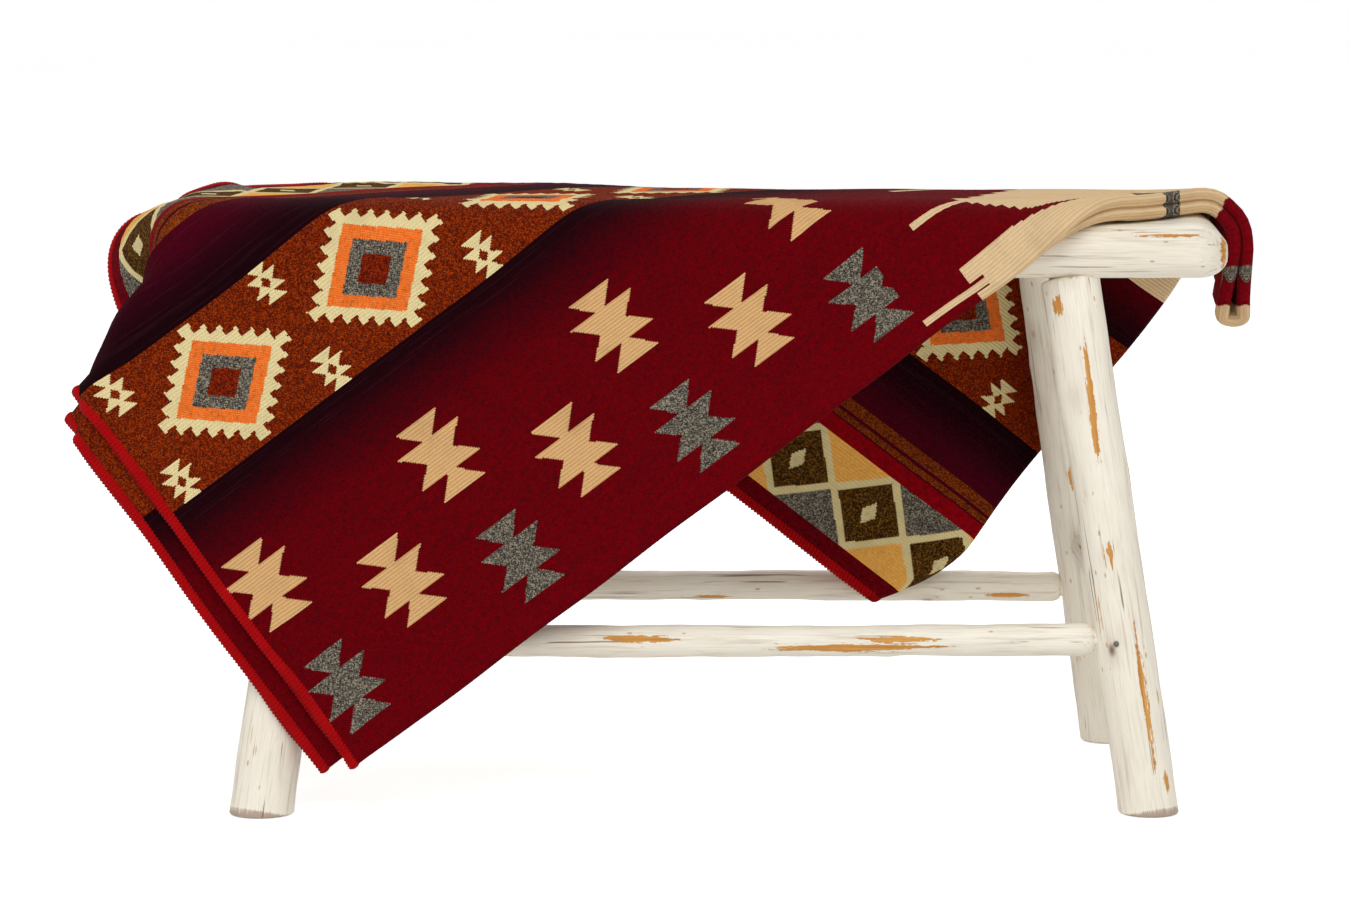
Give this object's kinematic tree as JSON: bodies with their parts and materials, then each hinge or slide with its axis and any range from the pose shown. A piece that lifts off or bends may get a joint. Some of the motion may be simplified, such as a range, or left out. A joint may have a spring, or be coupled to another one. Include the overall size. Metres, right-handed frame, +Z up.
{
  "type": "folded blanket on a log bench",
  "caption": "Striped woven wool blanket, folded in layers and draped slantwise over a low whitewashed log bench with splayed legs.",
  "frame": {"origin": "the middle of the whole part's box, on the floor", "axes": "+X along the seat to its right end as seen from the front, +Y to the back, +Z up"},
  "size_m": [1.0096, 0.3962, 0.5183],
  "materials": {
    "whitewashed_wood": "satin",
    "blanket_cloth": "matte",
    "edge_yarn": "matte",
    "brad_steel": "satin"
  },
  "bodies": {
    "root": {"seat_log": "whitewashed_wood", "front_left_leg": "whitewashed_wood", "front_right_leg": "whitewashed_wood", "back_left_leg": "whitewashed_wood", "back_right_leg": "whitewashed_wood", "front_long_stretcher": "whitewashed_wood", "back_long_stretcher": "whitewashed_wood", "left_side_stretcher": "whitewashed_wood", "right_side_stretcher": "whitewashed_wood", "front_left_brad": "brad_steel", "front_right_brad": "brad_steel", "back_left_brad": "brad_steel", "back_right_brad": "brad_steel", "folded_blanket": "blanket_cloth"}
  },
  "joints": []
}
